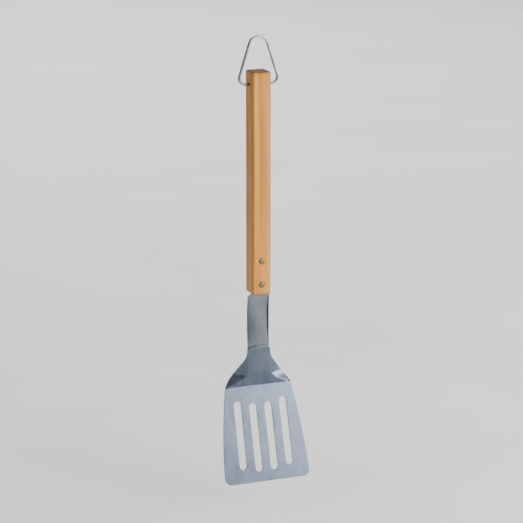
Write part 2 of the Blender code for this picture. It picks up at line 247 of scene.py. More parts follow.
class Shader:
    """A material's node tree, built one node at a time; each method returns the new node's output."""

    def __init__(self, name, roughness, metallic, specular=0.5):
        self.material = bpy.data.materials.new(name)
        self.material.use_nodes = True
        self.tree = self.material.node_tree
        self.surface = self.tree.nodes["Principled BSDF"]
        self.surface.inputs["Roughness"].default_value = roughness
        self.surface.inputs["Metallic"].default_value = metallic
        self.surface.inputs["Specular IOR Level"].default_value = specular
        self.coordinates = self.tree.nodes.new("ShaderNodeTexCoord")

    def add(self, kind, values, output=0, **settings):
        """values go to the node's inputs by name or number; one that is an output is linked."""
        node = self.tree.nodes.new("ShaderNode" + kind)
        for key, value in settings.items():
            setattr(node, key, value)
        for key, value in values.items():
            self.feed(node.inputs[key], value)
        return node.outputs[output]

    def feed(self, socket, value):
        if isinstance(value, bpy.types.NodeSocket):
            self.tree.links.new(value, socket)
        else:
            socket.default_value = value

    def place(self):
        return self.coordinates.outputs["Object"]

    def scaled(self, vector, scale, location=(0.0, 0.0, 0.0), rotation=(0.0, 0.0, 0.0)):
        values = {"Vector": vector, "Scale": scale, "Location": location, "Rotation": rotation}
        return self.add("Mapping", values)

    def noise(self, vector, scale=1.0, detail=3.0, roughness=0.55, distortion=0.0):
        values = {"Vector": vector, "Scale": scale, "Detail": detail, "Roughness": roughness}
        values["Distortion"] = distortion
        return self.add("TexNoise", values)

    def cells(self, vector, scale=1.0, feature="F1"):
        return self.add("TexVoronoi", {"Vector": vector, "Scale": scale}, "Distance", feature=feature)

    def calc(self, operation, *values):
        return self.add("Math", dict(enumerate(values)), operation=operation)

    def spread(self, value, low, high, to_low=0.0, to_high=1.0):
        """Map low..high to to_low..to_high, smoothly and held at the ends."""
        values = {"Value": value, "From Min": low, "From Max": high, "To Min": to_low, "To Max": to_high}
        return self.add("MapRange", values, interpolation_type="SMOOTHSTEP")

    def mix(self, share, first, second, blend="MIX"):
        values = {"Factor": share, 6: first, 7: second}
        return self.add("Mix", values, 2, data_type="RGBA", blend_type=blend)

    def parts(self, vector):
        node = self.tree.nodes.new("ShaderNodeSeparateXYZ")
        self.feed(node.inputs[0], vector)
        return node.outputs

    def attribute(self, name):
        return self.add("Attribute", {}, "Fac", attribute_name=name)

    def bump(self, height, depth, normal=None, strength=1.0):
        """A relief that is depth metres high where height goes from 0 to 1."""
        values = {"Height": height, "Distance": depth, "Strength": strength}
        if normal:
            values["Normal"] = normal
        return self.add("Bump", values)

    def finish(self, colour, roughness, normal):
        self.feed(self.surface.inputs["Base Color"], colour)
        self.feed(self.surface.inputs["Roughness"], roughness)
        self.feed(self.surface.inputs["Normal"], normal)
        return self.material


def srgb(code):
    """A linear colour from a six-digit sRGB code."""
    colour = []
    for place in (0, 2, 4):
        part = int(code[place:place + 2], 16) / 255.0
        colour.append(part / 12.92 if part <= 0.04045 else ((part + 0.055) / 1.055) ** 2.4)
    return (*colour, 1.0)


# ---- materials ------------------------------------------------------------------------------------

def hardwood():
    """Oiled hardwood, cut with its rings across both faces: the same solid grain shows on sides and ends."""
    wood = Shader("handle_hardwood", roughness=0.5, metallic=0.0, specular=0.22)
    place = wood.place()
    x, y, z = wood.parts(place)
    facing = wood.parts(wood.coordinates.outputs["Normal"])

    # Yearly rings round a pith that lies well outside the bar, wandering a little along it
    wander = wood.noise(wood.scaled(place, (26.0, 26.0, 7.0)), 1.0, 2.0)
    sway = wood.add("VectorMath", {0: (0.006, 0.006, 0.0), "Scale": wander}, operation="SCALE")
    trunk = wood.add("VectorMath", {0: place, 1: sway}, operation="ADD")
    trunk = wood.scaled(trunk, (1.0, 1.0, 1.0), (0.083, 0.061, 0.0), (0.012, -0.017, 0.0))
    rings = wood.add("TexWave", {"Vector": trunk, "Scale": 150.0, "Distortion": 1.6, "Detail": 3.0,
                                 "Detail Scale": 0.6, "Detail Roughness": 0.6},
                     "Fac", wave_type="RINGS", rings_direction="Z", wave_profile="SAW")
    late = wood.spread(rings, 0.45, 1.0)

    # Fibres, vessels cut lengthwise or across, and short dark rays
    fibre = wood.noise(wood.scaled(place, (2100.0, 2100.0, 26.0)), 1.0, 4.0, 0.6)
    hair = wood.noise(wood.scaled(place, (5200.0, 5200.0, 110.0)), 1.0, 2.0, 0.5)
    vessel = wood.cells(wood.scaled(place, (2900.0, 2900.0, 150.0)))
    vessel = wood.spread(vessel, 0.30, 0.10)
    vessel = wood.calc("MULTIPLY", vessel, wood.spread(fibre, 0.42, 0.62))
    ray = wood.cells(wood.scaled(place, (1150.0, 900.0, 230.0)))
    ray = wood.spread(ray, 0.20, 0.08)

    # Colour: pale and golden bands, redder in places
    band = wood.noise(wood.scaled(place, (190.0, 190.0, 5.0)), 1.0, 3.0, 0.5)
    colour = wood.mix(wood.spread(band, 0.32, 0.68), srgb("C6802F"), srgb("E2A74C"))
    warm = wood.noise(wood.scaled(place, (60.0, 60.0, 9.0), (3.1, 0.0, 0.0)), 1.0, 2.0)
    colour = wood.mix(wood.spread(warm, 0.42, 0.72, 0.0, 0.55), colour, srgb("C67A38"))
    colour = wood.mix(wood.calc("MULTIPLY", late, 0.34), colour, srgb("A5662E"))
    colour = wood.mix(wood.spread(fibre, 0.25, 0.75, 0.22, 0.0), colour, srgb("8E5A30"))
    colour = wood.mix(wood.calc("MULTIPLY", ray, 0.30), colour, srgb("8A5430"))
    colour = wood.mix(wood.calc("MULTIPLY", vessel, 0.55), colour, srgb("6E4526"))

    # End grain soaks up oil and dirt; the darker ends are partly that and partly painted shade on the end
    # faces
    end = wood.spread(wood.calc("ABSOLUTE", facing[2]), 0.55, 0.85)
    colour = wood.mix(wood.calc("MULTIPLY", end, 0.88), colour, srgb("4A2A16"))

    # Hands darken the edges; the last millimetres by the steel are grimy; round the rivets the wood is
    # darkened by grime and by painted shadow
    from_side = wood.calc("SUBTRACT", HANDLE_WIDTH / 2.0, wood.calc("ABSOLUTE", x))
    from_face = wood.calc("SUBTRACT", HANDLE_DEPTH / 2.0, wood.calc("ABSOLUTE", y))
    from_top = wood.calc("SUBTRACT", HANDLE_HIGH.z, z)
    from_end = wood.calc("MINIMUM", from_top, wood.calc("SUBTRACT", z, HANDLE_LOW.z))
    near_edge = wood.spread(from_side, 1.6 * MM, 0.2 * MM)
    near_edge = wood.calc("MULTIPLY", near_edge, wood.spread(from_face, 1.6 * MM, 0.2 * MM))
    rubbed = wood.noise(wood.scaled(place, (240.0, 240.0, 45.0)), 1.0, 3.0)
    near_edge = wood.calc("MULTIPLY", near_edge, wood.spread(rubbed, 0.38, 0.6))
    colour = wood.mix(wood.calc("MULTIPLY", near_edge, 0.35), colour, srgb("8C5A33"))
    near_end = wood.spread(from_end, 5.0 * MM, 0.5 * MM)
    near_end = wood.calc("MULTIPLY", near_end, wood.spread(rubbed, 0.3, 0.7, 0.5, 1.0))
    colour = wood.mix(wood.calc("MULTIPLY", near_end, 0.42), colour, srgb("70482A"))
    # A dark ring in the wood round each rivet head: partly grime, partly painted shadow round the head in its
    # seat
    rivet_shade_and_grime = 0.0
    for height in RIVET_Z.values():
        flat = wood.add("CombineXYZ", {"X": x, "Z": z})
        away = wood.add("VectorMath", {0: flat, 1: (0.0, 0.0, height)}, "Value", operation="DISTANCE")
        ring = wood.spread(away, RIVET_HEAD_RADIUS + 1.3 * MM, RIVET_HEAD_RADIUS + 0.1 * MM)
        rivet_shade_and_grime = wood.calc("MAXIMUM", rivet_shade_and_grime, ring)
    colour = wood.mix(wood.calc("MULTIPLY", rivet_shade_and_grime, 0.42), colour, srgb("5A3A22"))

    dry = wood.noise(wood.scaled(place, (110.0, 110.0, 30.0), (0.0, 2.0, 0.0)), 1.0, 3.0)
    roughness = wood.spread(dry, 0.3, 0.7, 0.44, 0.60)
    roughness = wood.calc("ADD", roughness, wood.calc("MULTIPLY", end, 0.30))
    roughness = wood.calc("SUBTRACT", roughness, wood.calc("MULTIPLY", near_edge, 0.08))
    normal = wood.bump(fibre, 0.05 * MM)
    normal = wood.bump(hair, 0.02 * MM, normal)
    normal = wood.bump(wood.calc("SUBTRACT", 1.0, vessel), 0.07 * MM, normal)
    normal = wood.bump(wood.calc("SUBTRACT", 1.0, late), 0.03 * MM, normal)
    return wood.finish(colour, roughness, normal)


def brushed_steel(name, dark, light, roughness, brushing, grit, stains):
    """Sheet steel brushed along Z: fine lines, crossing scratches, faint smears, and brighter edges, partly
    rubbed wear and partly a painted highlight.
    """
    steel = Shader(name, roughness, metallic=1.0)
    place = steel.place()
    lines = steel.noise(steel.scaled(place, (3400.0, 900.0, 24.0)), 1.0, 4.0, 0.65)
    coarse = steel.noise(steel.scaled(place, (900.0, 300.0, 9.0), (0.0, 0.0, 4.0)), 1.0, 3.0, 0.5)
    cloud = steel.noise(steel.scaled(place, (42.0, 42.0, 30.0)), 1.0, 4.0, 0.6, 0.6)
    speck = steel.noise(steel.scaled(place, (900.0, 900.0, 900.0)), 1.0, 2.0, 0.6)

    # Long thin scratches at three slants, each kept to patches
    scratches = 0.0
    for turn, shift in ((0.35, 0.0), (-0.62, 5.0), (1.15, 9.0)):
        slanted = steel.scaled(place, (620.0, 30.0, 26.0), (shift, 0.0, shift), (0.0, turn, 0.0))
        line = steel.cells(slanted, 1.0, "DISTANCE_TO_EDGE")
        line = steel.spread(line, 0.030, 0.004)
        patch = steel.noise(steel.scaled(place, (70.0, 70.0, 70.0), (shift, 0.0, 0.0)), 1.0, 2.0)
        line = steel.calc("MULTIPLY", line, steel.spread(patch, 0.50, 0.62))
        scratches = steel.calc("MAXIMUM", scratches, line)

    rim = steel.attribute("rim")
    weld = steel.attribute("weld")
    tone = steel.mix(steel.spread(cloud, 0.3, 0.7), dark, light)
    tone = steel.mix(steel.spread(lines, 0.3, 0.7, 0.20, 0.0), tone, srgb("3A3E42"))
    tone = steel.mix(steel.spread(coarse, 0.3, 0.7, 0.12, 0.0), tone, srgb("4A4E54"))
    tone = steel.mix(steel.spread(speck, 0.58, 0.72, 0.0, grit), tone, srgb("2E3236"))
    smear = steel.noise(steel.scaled(place, (30.0, 60.0, 55.0), (7.0, 0.0, 1.0)), 1.0, 5.0, 0.65, 1.2)
    tone = steel.mix(steel.spread(smear, 0.56, 0.74, 0.0, stains), tone, srgb("6F6557"))
    tone = steel.mix(steel.spread(weld, 0.15, 0.75, 0.0, 0.45), tone, srgb("5E574E"))
    tone = steel.mix(steel.calc("MULTIPLY", scratches, 0.13), tone, srgb("B2B6BA"))
    # Brighter edges: partly rubbed wear, partly a painted highlight along them
    tone = steel.mix(steel.calc("MULTIPLY", rim, 0.35), tone, srgb("CDD2D8"))

    gloss = steel.spread(cloud, 0.25, 0.75, roughness - 0.05, roughness + 0.06)
    gloss = steel.calc("ADD", gloss, steel.spread(smear, 0.50, 0.75, 0.0, 0.10))
    gloss = steel.calc("SUBTRACT", gloss, steel.calc("MULTIPLY", rim, 0.08))
    gloss = steel.calc("ADD", gloss, steel.spread(lines, 0.3, 0.7, -0.03, 0.05))
    normal = steel.bump(lines, 0.004 * MM * brushing)
    normal = steel.bump(coarse, 0.006 * MM * brushing, normal)
    normal = steel.bump(speck, 0.010 * MM * grit, normal)
    normal = steel.bump(steel.calc("SUBTRACT", 1.0, scratches), 0.003 * MM, normal)
    return steel.finish(tone, gloss, normal)


def drawn_wire():
    """Drawn steel wire: lines along it, patches of dark pits, and its top polished where a hook rubs it."""
    wire = Shader("bail_drawn_wire", roughness=0.33, metallic=1.0)
    place = wire.place()
    z = wire.parts(place)[2]
    along = wire.add("UVMap", {}, uv_map="wire")
    lines = wire.noise(wire.scaled(along, (160.0, 22.0, 1.0)), 1.0, 4.0, 0.6)
    cloud = wire.noise(wire.scaled(place, (190.0, 190.0, 190.0)), 1.0, 4.0, 0.6)
    pits = wire.cells(wire.scaled(place, (900.0, 900.0, 900.0)))
    pits = wire.calc("MULTIPLY", wire.spread(pits, 0.30, 0.12), wire.spread(cloud, 0.50, 0.64))
    rubbed = wire.spread(z, BAIL_HEIGHT - 9.0 * MM, BAIL_HEIGHT - 2.0 * MM)
    tone = wire.mix(wire.spread(cloud, 0.3, 0.7), srgb("767B80"), srgb("A3A6A8"))
    tone = wire.mix(wire.spread(lines, 0.35, 0.7, 0.25, 0.0), tone, srgb("45494D"))
    tone = wire.mix(wire.calc("MULTIPLY", pits, 0.6), tone, srgb("3B352E"))
    tone = wire.mix(wire.calc("MULTIPLY", rubbed, 0.5), tone, srgb("C9CDD1"))
    gloss = wire.spread(cloud, 0.25, 0.75, 0.30, 0.42)
    gloss = wire.calc("SUBTRACT", gloss, wire.calc("MULTIPLY", rubbed, 0.12))
    normal = wire.bump(lines, 0.010 * MM)
    normal = wire.bump(wire.calc("SUBTRACT", 1.0, pits), 0.03 * MM, normal)
    return wire.finish(tone, gloss, normal)


def rivet_brass():
    """Dull brass-coloured rivet metal, scratched, darker in the dimple and at the rim: partly tarnish, partly
    painted shade.
    """
    brass = Shader("rivet_dull_brass", roughness=0.42, metallic=1.0)
    place = brass.place()
    x, y, _ = brass.parts(place)
    out = brass.calc("ADD", brass.calc("MULTIPLY", x, x), brass.calc("MULTIPLY", y, y))
    out = brass.calc("SQRT", out)
    cloud = brass.noise(brass.scaled(place, (520.0, 520.0, 520.0)), 1.0, 4.0, 0.6)
    slanted = brass.scaled(place, (3800.0, 420.0, 900.0), rotation=(0.0, 0.0, 0.6))
    fine = brass.noise(slanted, 1.0, 3.0)
    rim = brass.spread(out, RIVET_HEAD_RADIUS - 0.55 * MM, RIVET_HEAD_RADIUS)
    middle = brass.spread(out, RIVET_DIMPLE_RADIUS + 0.25 * MM, RIVET_DIMPLE_RADIUS - 0.5 * MM)
    # Darker at the rim and in the dimple: partly tarnish, partly painted shade
    tarnish_and_shade = brass.calc("MAXIMUM", rim, middle)
    tarnish_and_shade = brass.calc("MULTIPLY", tarnish_and_shade, brass.spread(cloud, 0.25, 0.6, 0.55, 1.0))
    tone = brass.mix(brass.spread(cloud, 0.3, 0.7), srgb("6E664C"), srgb("8A8060"))
    tone = brass.mix(brass.spread(fine, 0.45, 0.7, 0.0, 0.35), tone, srgb("A39A78"))
    tone = brass.mix(brass.calc("MULTIPLY", tarnish_and_shade, 0.72), tone, srgb("2E2A20"))
    gloss = brass.spread(cloud, 0.3, 0.7, 0.34, 0.50)
    gloss = brass.calc("ADD", gloss, brass.calc("MULTIPLY", tarnish_and_shade, 0.12))
    normal = brass.bump(fine, 0.010 * MM)
    normal = brass.bump(cloud, 0.020 * MM, normal)
    return brass.finish(tone, gloss, normal)


def pale_floor():
    paper = Shader("pale_floor", roughness=0.85, metallic=0.0, specular=0.2)
    mottle = paper.noise(paper.scaled(paper.place(), (3.0, 3.0, 3.0)), 1.0, 3.0)
    fine = paper.noise(paper.scaled(paper.place(), (260.0, 260.0, 260.0)), 1.0, 3.0)
    tone = paper.mix(paper.spread(mottle, 0.3, 0.7), srgb("E9E9E7"), srgb("F0F0EF"))
    return paper.finish(tone, paper.spread(fine, 0.3, 0.7, 0.80, 0.92), paper.bump(fine, 0.05 * MM))


# ---- sheet metal with rounded edges -----------------------------------------------------------------

def edge_rings(thickness):
    """(inset, depth, rim) of each ring of points round an edge, from the front over it to the back.

    The rim runs from 0 on the flat to 1 at the edge's middle, where the metal is painted brighter: partly
    rubbed wear, partly a painted highlight.
    """
    half = thickness / 2.0
    front = [(EDGE_RADIUS + EDGE_BAND, half, 0.0)]
    for step in range(EDGE_STEPS + 1):
        share = step / EDGE_STEPS
        angle = math.pi / 2.0 * share
        inset = EDGE_RADIUS * (1.0 - math.sin(angle))
        front.append((inset, half - EDGE_RADIUS * (1.0 - math.cos(angle)), 0.5 + 0.5 * share))
    return front + [(inset, -depth, rim) for inset, depth, rim in reversed(front)]


def inward_normals(loop):
    """The direction into the material at each point; the material lies to the left of a loop."""
    normals = []
    for index, point in enumerate(loop):
        before = (point - loop[index - 1]).normalized()
        after = (loop[(index + 1) % len(loop)] - point).normalized()
        along = (before + after).normalized()
        normals.append(Vector((-along.y, along.x)))
    return normals


def rounded_corner(corner, before, after, radius):
    """Points of an arc that replaces a square corner, between unit directions towards before and after."""
    centre = corner + (before + after) * radius
    points = []
    for step in range(CORNER_STEPS + 1):
        angle = math.pi / 2.0 * step / CORNER_STEPS
        points.append(centre - after * radius * math.cos(angle) - before * radius * math.sin(angle))
    return points


def mirrored(right):
    """A closed loop from its right half, which runs from the middle of one end to the middle of the other."""
    left = [Vector((-point.x, point.y)) for point in reversed(right) if point.x > 1e-6]
    return right + left


def skin_points(loops, normals, grid, inset):
    """Triangulate the material inside the loops: the loops' inset points first, then the grid's.

    A grid point, given with the spacing round it, is left out where it would crowd a loop.
    """
    tree = kdtree.KDTree(sum(len(loop) for loop in loops))
    facing = []
    points = []
    edges = []
    for loop, inward in zip(loops, normals):
        start = len(points)
        count = len(loop)
        for index, (point, normal) in enumerate(zip(loop, inward)):
            tree.insert((*point, 0.0), start + index)
            facing.append(normal)
            points.append(point + normal * inset)
            edges.append((start + index, start + (index + 1) % count))
    tree.balance()

    def clearance(point):
        nearest, index, _ = tree.find((*point, 0.0))
        return (point - nearest.xy).dot(facing[index])

    points += [point for point, spacing in grid if clearance(point) > inset + 0.55 * spacing]
    placed, _, faces, sources, _, _ = geometry.delaunay_2d_cdt(points, edges, [], 0, 1e-9)
    corners = []
    for face in faces:
        centre = sum((placed[vertex] for vertex in face), Vector((0.0, 0.0))) / 3.0
        if clearance(centre) > 0.5 * inset:
            corners.append([sources[vertex][0] if sources[vertex] else None for vertex in face])
    return points, [face for face in corners if None not in face]


def sheet_piece(name, loops, grid, place, thickness, material):
    """A sheet with rounded edges: place(across, down, depth) bends the flat pattern into shape."""
    normals = [inward_normals(loop) for loop in loops]
    rings = edge_rings(thickness)
    points, faces = skin_points(loops, normals, grid, rings[0][0])
    bm = bmesh.new()
    rim_layer = bm.verts.layers.float.new("rim")
    weld_layer = bm.verts.layers.float.new("weld")

    def new_vert(point, depth, rim):
        vert = bm.verts.new(place(point.x, point.y, depth))
        vert[rim_layer] = rim
        vert[weld_layer] = weld_share(point.x, vert.co.z)
        return vert

    front = [new_vert(point, rings[0][1], 0.0) for point in points]
    back = [new_vert(point, rings[-1][1], 0.0) for point in points]
    for face in faces:
        bm.faces.new([front[index] for index in face])
        bm.faces.new([back[index] for index in reversed(face)])
    start = 0
    for loop, inward in zip(loops, normals):
        count = len(loop)
        rows = [front[start:start + count]]
        for inset, depth, rim in rings[1:-1]:
            rows.append([new_vert(point + normal * inset, depth, rim) for point, normal in zip(loop, inward)])
        rows.append(back[start:start + count])
        for upper, lower in zip(rows, rows[1:]):
            for index in range(count):
                after = (index + 1) % count
                bm.faces.new((upper[index], lower[index], lower[after], upper[after]))
        start += count
    bmesh.ops.recalc_face_normals(bm, faces=bm.faces)
    piece = mesh_object(name, bm, material)
    smooth(piece)
    return piece


def weld_share(x, z):
    """1 in the middle of a spot weld, falling to 0 outside its heat mark."""
    share = 0.0
    for across, down in WELDS:
        away = math.hypot(x - across, z - (NECK_TOP_Z - down))
        share = max(share, 1.0 - ease(away, 0.4 * WELD_RADIUS, 2.0 * WELD_RADIUS))
    return share


def weld_dent(x, z):
    """How deep an electrode has pressed the sheet in, with a low lip round the mark."""
    depth = 0.0
    for across, down in WELDS:
        away = math.hypot(x - across, z - (NECK_TOP_Z - down)) / WELD_RADIUS
        depth += WELD_DEPTH * (1.0 - ease(away, 0.45, 1.0))
        depth -= 0.3 * WELD_DEPTH * ease(away, 0.75, 1.05) * (1.0 - ease(away, 1.05, 1.6))
    return depth


def offset_point(surface, across, down, depth):
    """The point of a surface, moved out of its front by the depth."""
    step = 0.02 * MM
    over = surface(across + step, down) - surface(across - step, down)
    along = surface(across, down + step) - surface(across, down - step)
    return surface(across, down) + along.cross(over).normalized() * depth


def crown_depth(x, crown):
    """How far a strip's surface falls back at x from its middle: a parabola, then its tangent."""
    side = abs(x)
    if side <= SHANK_HALF:
        return crown * (side / SHANK_HALF) ** 2
    return crown + 2.0 * crown / SHANK_HALF * (side - SHANK_HALF)


# ---- blade ----------------------------------------------------------------------------------------

BENDS = [
    (NECK_LENGTH - NECK_BEND / 2.0, 0.0, 0.0),
    (NECK_BEND, 0.0, LEDGE_LEAN),
    (LEDGE_LENGTH - NECK_BEND / 2.0 - FACE_BEND / 2.0, LEDGE_LEAN, LEDGE_LEAN),
    (FACE_BEND, LEDGE_LEAN, FACE_LEAN),
    (FACE_LENGTH, FACE_LEAN, FACE_LEAN),
]


def blade_middle(distance):
    """The sheet's middle line (y, z) at a distance down it, through straight runs and arcs."""
    y = -NECK_FORWARD
    z = NECK_TOP_Z
    left = distance
    for length, start, end in BENDS:
        run = min(left, length)
        if start == end:
            y -= math.sin(start) * run
            z -= math.cos(start) * run
        else:
            turn = (end - start) / length
            reached = start + turn * run
            y -= (math.cos(start) - math.cos(reached)) / turn
            z -= (math.sin(reached) - math.sin(start)) / turn
        left -= run
        if left <= 0.0:
            break
    return y, z


def side_half_width(distance):
    """Half the outline's width without the tip's corners: the spread's slope, added up down the sheet."""
    slopes = [(FLARE_START, 0.0), (FLARE_FULL, FLARE_SLOPE), (SHOULDER_START, FLARE_SLOPE)]
    slopes += [(SHOULDER_END, SIDE_SLOPE_TOP), (TIP, SIDE_SLOPE_TIP)]
    half = NECK_HALF
    for (start, slope), (end, end_slope) in zip(slopes, slopes[1:]):
        run = min(max(distance - start, 0.0), end - start)
        reached = slope + (end_slope - slope) * run / (end - start)
        half += run * (slope + reached) / 2.0
    return half


def neck_crown(distance):
    return NECK_CROWN * (1.0 - ease(distance, LAP_LENGTH, FACE_START - FACE_BEND))


def wing_depth(distance, x):
    """How far the side wings fold back; each narrows to nothing where its fold meets the outline."""
    if distance >= WING_END:
        return 0.0
    turned = max((distance - WING_TURN) / (WING_END - WING_TURN), 0.0) ** 1.5
    fold = WING_HALF + (side_half_width(WING_END) + WING_SOFTNESS - WING_HALF) * turned
    slope = WING_SLOPE + (WING_SLOPE_AT_END - WING_SLOPE) * turned
    slope -= 2.0 * neck_crown(distance) / SHANK_HALF
    return slope * soft_ramp(abs(x) - fold, WING_SOFTNESS)


def blade_surface(x, distance):
    y, z = blade_middle(distance)
    return Vector((x, y + crown_depth(x, neck_crown(distance)) + wing_depth(distance, x), z))


def blade_place(across, down, depth):
    dent = weld_dent(across, NECK_TOP_Z - down) if depth > 0.0 else 0.0
    return offset_point(blade_surface, across, down, depth - dent)


def blade_rows():
    """Distances down the sheet, closest together in the bends."""
    neck_end = NECK_LENGTH - NECK_BEND / 2.0
    ledge_start = NECK_LENGTH + NECK_BEND / 2.0
    bend_start = FACE_START - FACE_BEND / 2.0
    bend_end = FACE_START + FACE_BEND / 2.0
    stops = [(0.0, WELD_ZONE, FINE_STEP), (WELD_ZONE, neck_end, 0.9 * MM)]
    stops += [(neck_end, ledge_start, 0.5 * MM), (ledge_start, bend_start, 0.7 * MM)]
    stops += [(bend_start, bend_end, 0.15 * MM), (bend_end, WING_END, FINE_STEP)]
    stops += [(WING_END, TIP, COARSE_STEP)]
    rows = []
    for start, end, step in stops:
        rows += [(distance, step) for distance in spaced(start, end, step)[:-1]]
    return rows + [(TIP, COARSE_STEP)]


def blade_outline():
    """The flat pattern's edge, from the neck's arched top down its right side to the tip, then mirrored."""
    half = []
    for turn in spaced(0.0, math.pi / 2.0, ARCH_STEP):
        half.append(Vector((NECK_HALF * math.sin(turn), NECK_ARCH * (1.0 - math.cos(turn)))))
    corner_start = TIP - TIP_CORNER_RADIUS
    for distance, _ in blade_rows():
        if NECK_ARCH + FINE_STEP / 2.0 < distance < corner_start:
            half.append(Vector((side_half_width(distance), distance)))
    for step in range(TIP_CORNER_STEPS + 1):
        angle = math.pi / 2.0 * step / TIP_CORNER_STEPS
        distance = corner_start + TIP_CORNER_RADIUS * math.sin(angle)
        rounded_off = TIP_CORNER_RADIUS * (1.0 - math.cos(angle))
        half.append(Vector((side_half_width(distance) - rounded_off, distance)))
    half += [Vector((x, TIP)) for x in reversed(spaced(0.0, half[-1].x, EDGE_STEP)[:-1])]
    return mirrored(half)


def slot_loops():
    """Four round-ended slots that fan out slightly, the inner pair set a little nearer the tip."""
    straight = SLOT_LENGTH / 2.0 - SLOT_RADIUS
    loops = []
    for across in (-1.5, -0.5, 0.5, 1.5):
        turn = Matrix.Rotation(-across * SLOT_FAN, 2)
        below = INNER_SLOT_CENTRE if abs(across) < 1.0 else OUTER_SLOT_CENTRE
        centre = Vector((across * SLOT_PITCH, FACE_START + below))
        points = []
        for end in (1.0, -1.0):
            for step in range(SLOT_END_STEPS + 1):
                angle = math.pi * step / SLOT_END_STEPS
                offset = Vector((math.cos(angle) * SLOT_RADIUS, straight + math.sin(angle) * SLOT_RADIUS))
                points.append(offset * end)
            for run in spaced(straight, -straight, -EDGE_STEP)[1:-1]:
                points.append(Vector((-SLOT_RADIUS, run)) * end)
        loops.append([centre + turn @ point for point in reversed(points)])
    return loops


def make_blade(material):
    grid = []
    for distance, spacing in blade_rows():
        spacing = max(spacing, FINE_STEP)
        half = side_half_width(distance)
        grid += [(Vector((x, distance)), spacing) for x in spaced(-half, half, spacing)]
    return sheet_piece("blade_sheet", [blade_outline()] + slot_loops(), grid, blade_place, SHEET, material)


# ---- shank ----------------------------------------------------------------------------------------

def shank_half_width(depth):
    return TANG_HALF + (SHANK_HALF - TANG_HALF) * ease(depth, TANG_LENGTH, TANG_LENGTH + SHOULDER_LENGTH)


def shank_surface(x, depth):
    crown = SHANK_CROWN * ease(depth, TANG_LENGTH, TANG_LENGTH + CROWN_RUN)
    lap = TANG_LENGTH + SHANK_SHOWING
    crown -= (SHANK_CROWN - NECK_CROWN) * ease(depth, lap - CROWN_RUN, lap)
    return Vector((x, crown_depth(x, crown), SHANK_TOP_Z - depth))


def shank_place(across, down, depth):
    dent = weld_dent(across, SHANK_TOP_Z - down) if depth < 0.0 else 0.0
    return offset_point(shank_surface, across, down, depth + dent)


def make_shank(material):
    down = Vector((0.0, 1.0))
    right = Vector((1.0, 0.0))
    end = TANG_LENGTH + SHANK_SHOWING + LAP_LENGTH
    half = [Vector((x, 0.0)) for x in spaced(0.0, TANG_HALF - CORNER_RADIUS, SHANK_STEP)[:-1]]
    half += rounded_corner(Vector((TANG_HALF, 0.0)), -right, down, CORNER_RADIUS)
    rows = spaced(CORNER_RADIUS, TANG_LENGTH, EDGE_STEP)[1:-1]
    rows += spaced(TANG_LENGTH, TANG_LENGTH + SHOULDER_LENGTH, 0.3 * MM)
    rows += spaced(TANG_LENGTH + SHOULDER_LENGTH, end - CORNER_RADIUS, 1.5 * MM)[1:-1]
    half += [Vector((shank_half_width(depth), depth)) for depth in rows]
    half += rounded_corner(Vector((SHANK_HALF, end)), -down, -right, CORNER_RADIUS)
    half += [Vector((x, end)) for x in reversed(spaced(0.0, SHANK_HALF - CORNER_RADIUS, SHANK_STEP)[:-1])]
    loops = [mirrored(half)]
    for height in RIVET_Z.values():
        centre = Vector((0.0, SHANK_TOP_Z - height))
        radius = SLEEVE_RADIUS + FIT
        angles = [-math.tau * step / RIVET_HOLE_SIDES for step in range(RIVET_HOLE_SIDES)]
        loops.append([centre + radius * Vector((math.cos(angle), math.sin(angle))) for angle in angles])
    grid = []
    for depth in spaced(0.0, end, SHANK_STEP):
        grid += [(Vector((x, depth)), SHANK_STEP) for x in spaced(-SHANK_HALF, SHANK_HALF, SHANK_STEP)]
    return sheet_piece("shank_strip", loops, grid, shank_place, SHANK_THICKNESS, material)


# ---- bail -----------------------------------------------------------------------------------------

def arc_points(centre, radius, start, end, steps):
    """Points in the XZ plane on an arc, its angles measured from +X towards +Z."""
    angles = [start + (end - start) * step / steps for step in range(steps + 1)]
    return [centre + radius * Vector((math.cos(a), 0.0, math.sin(a))) for a in angles]


def bail_route():
    """The wire's middle line from pin to pin, the pivot at the origin."""
    top_centre = Vector((0.0, 0.0, BAIL_HEIGHT - BAIL_TOP_RADIUS))
    reach = math.hypot(BAIL_FOOT_HALF, top_centre.z)
    leg_angle = math.atan2(BAIL_FOOT_HALF, top_centre.z) - math.asin(BAIL_TOP_RADIUS / reach)
    foot_inset = BAIL_FOOT_RADIUS * math.tan((math.pi / 2.0 + leg_angle) / 2.0)
    foot_centre = Vector((BAIL_FOOT_HALF - foot_inset, 0.0, BAIL_FOOT_RADIUS))
    foot = arc_points(foot_centre, BAIL_FOOT_RADIUS, -math.pi / 2.0, leg_angle, FOOT_STEPS)
    top = arc_points(top_centre, BAIL_TOP_RADIUS, leg_angle, math.pi / 2.0, TOP_STEPS)
    pin = [Vector((x, 0.0, 0.0)) for x in spaced(PIN_INNER_X, foot[0].x, 1.5 * MM)[:-1]]
    leg = [foot[-1].lerp(top[0], share) for share in spaced(0.0, 1.0, 0.05)[1:-1]]
    right = pin + foot + leg + top
    return right + [Vector((-point.x, 0.0, point.z)) for point in reversed(right[:-1])]


